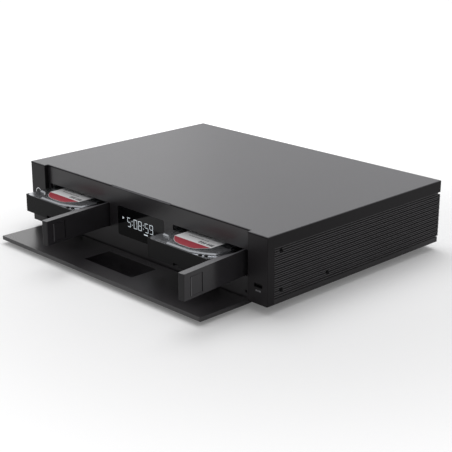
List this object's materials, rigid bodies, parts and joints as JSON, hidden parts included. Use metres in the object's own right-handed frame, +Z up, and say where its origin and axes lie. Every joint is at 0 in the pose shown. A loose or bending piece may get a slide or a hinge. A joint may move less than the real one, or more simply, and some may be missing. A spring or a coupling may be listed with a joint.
{
  "type": "media player with hard drive bays",
  "caption": "Full-width finned media player with its front flap and both bay doors open and a hard drive pulled part way out of each bay beside a central display.",
  "frame": {"origin": "bottom centre of the whole object's bounding box, on the surface it stands on", "axes": "+X right along the front, +Y from the front to the back, +Z up"},
  "size_m": [0.43, 0.4108, 0.0896],
  "materials": {
    "case_grey": "satin",
    "fin_grey": "satin anodised",
    "rear_steel": "matt",
    "latch_grey": "satin",
    "black_gloss": "gloss",
    "display_white": "lit",
    "display_black": "gloss",
    "board_green": "satin",
    "pin_steel": "bright",
    "black_plastic": "matt",
    "sink_alloy": "satin",
    "winding_yellow": "matt",
    "gold_plate": "bright",
    "rubber": "matt",
    "foot_black": "satin",
    "screw_black": "black oxide",
    "drive_cast": "black",
    "drive_silver": "bright",
    "label_paper": "printed"
  },
  "bodies": {
    "chassis": {"base_pan": "case_grey", "top_cover": "case_grey", "side_panel_right": "fin_grey", "side_panel_left": "fin_grey", "front_column_right": "case_grey", "front_column_left": "case_grey", "front_plate": "case_grey", "rear_panel": "rear_steel", "display_lens": "black_gloss", "display_digits": "display_white", "display_tube": "display_black", "display_board": "board_green", "button_ring": "display_white", "button_board": "board_green", "usb_front_shell": "screw_black", "usb_front_tongue": "black_plastic", "flap_hinge_pins": "pin_steel", "flap_hinge_brackets": "screw_black", "door_pins": "pin_steel", "drive_guides": "black_plastic", "backplane_boards": "board_green", "backplane_connectors": "black_plastic", "main_board": "board_green", "board_chips": "black_plastic", "soc_heatsink": "sink_alloy", "board_capacitors": "black_plastic", "psu_board": "board_green", "psu_transformer": "winding_yellow", "psu_heatsink": "sink_alloy", "data_sockets": "rear_steel", "audio_sockets": "black_plastic", "rca_barrels": "gold_plate", "power_inlet": "black_plastic", "inlet_pins": "pin_steel", "rocker_frame": "black_plastic", "feet": "foot_black", "foot_pads": "rubber", "case_screws": "screw_black", "drive_cage_left": "rear_steel", "drive_cage_right": "rear_steel"},
    "flap": {"flap": "case_grey", "flap_window": "black_gloss"},
    "power_button": {"power_button": "display_black"},
    "power_rocker": {"power_rocker": "black_plastic"},
    "door_left": {"bay_door_left": "case_grey", "latch_pin_left": "pin_steel"},
    "latch_left": {"door_latch_left": "latch_grey"},
    "drive_left": {"drive_base_left": "drive_cast", "drive_cover_left": "drive_silver", "drive_label_left": "label_paper", "drive_board_left": "board_green", "drive_screws_left": "screw_black"},
    "door_right": {"bay_door_right": "case_grey", "latch_pin_right": "pin_steel"},
    "latch_right": {"door_latch_right": "latch_grey"},
    "drive_right": {"drive_base_right": "drive_cast", "drive_cover_right": "drive_silver", "drive_label_right": "label_paper", "drive_board_right": "board_green", "drive_screws_right": "screw_black"}
  },
  "joints": [
    {"name": "flap_hinge", "type": "hinge", "parent": "chassis", "child": "flap", "pos_m": [0, -0.10416, 0.01185], "axis": [-1, 0, 0], "range_deg": [0, 17]},
    {"name": "door_hinge_left", "type": "hinge", "parent": "chassis", "child": "door_left", "pos_m": [-0.0712, -0.09731, 0.05025], "axis": [0, 0, 1], "range_deg": [-8, 8]},
    {"name": "latch_hinge_left", "type": "hinge", "parent": "door_left", "child": "latch_left", "pos_m": [-0.05717, -0.17934, 0.049], "axis": [0, 0, 1], "range_deg": [0, 25]},
    {"name": "drive_slide_left", "type": "slide", "parent": "chassis", "child": "drive_left", "axis": [0, 1, 0], "range_m": [-0.1, 0.0504]},
    {"name": "door_hinge_right", "type": "hinge", "parent": "chassis", "child": "door_right", "pos_m": [0.1672, -0.09731, 0.05025], "axis": [0, 0, 1], "range_deg": [-8, 8]},
    {"name": "latch_hinge_right", "type": "hinge", "parent": "door_right", "child": "latch_right", "pos_m": [0.18123, -0.17934, 0.049], "axis": [0, 0, 1], "range_deg": [0, 25]},
    {"name": "drive_slide_right", "type": "slide", "parent": "chassis", "child": "drive_right", "axis": [0, 1, 0], "range_m": [-0.1, 0.0504]},
    {"name": "power_button_press", "type": "slide", "parent": "chassis", "child": "power_button", "axis": [0, 1, 0], "range_m": [0, 0.0008], "stiffness_N_per_m": 300},
    {"name": "power_rocker_hinge", "type": "hinge", "parent": "chassis", "child": "power_rocker", "pos_m": [-0.118, 0.19539, 0.044], "axis": [1, 0, 0], "range_deg": [-18, 0]}
  ]
}
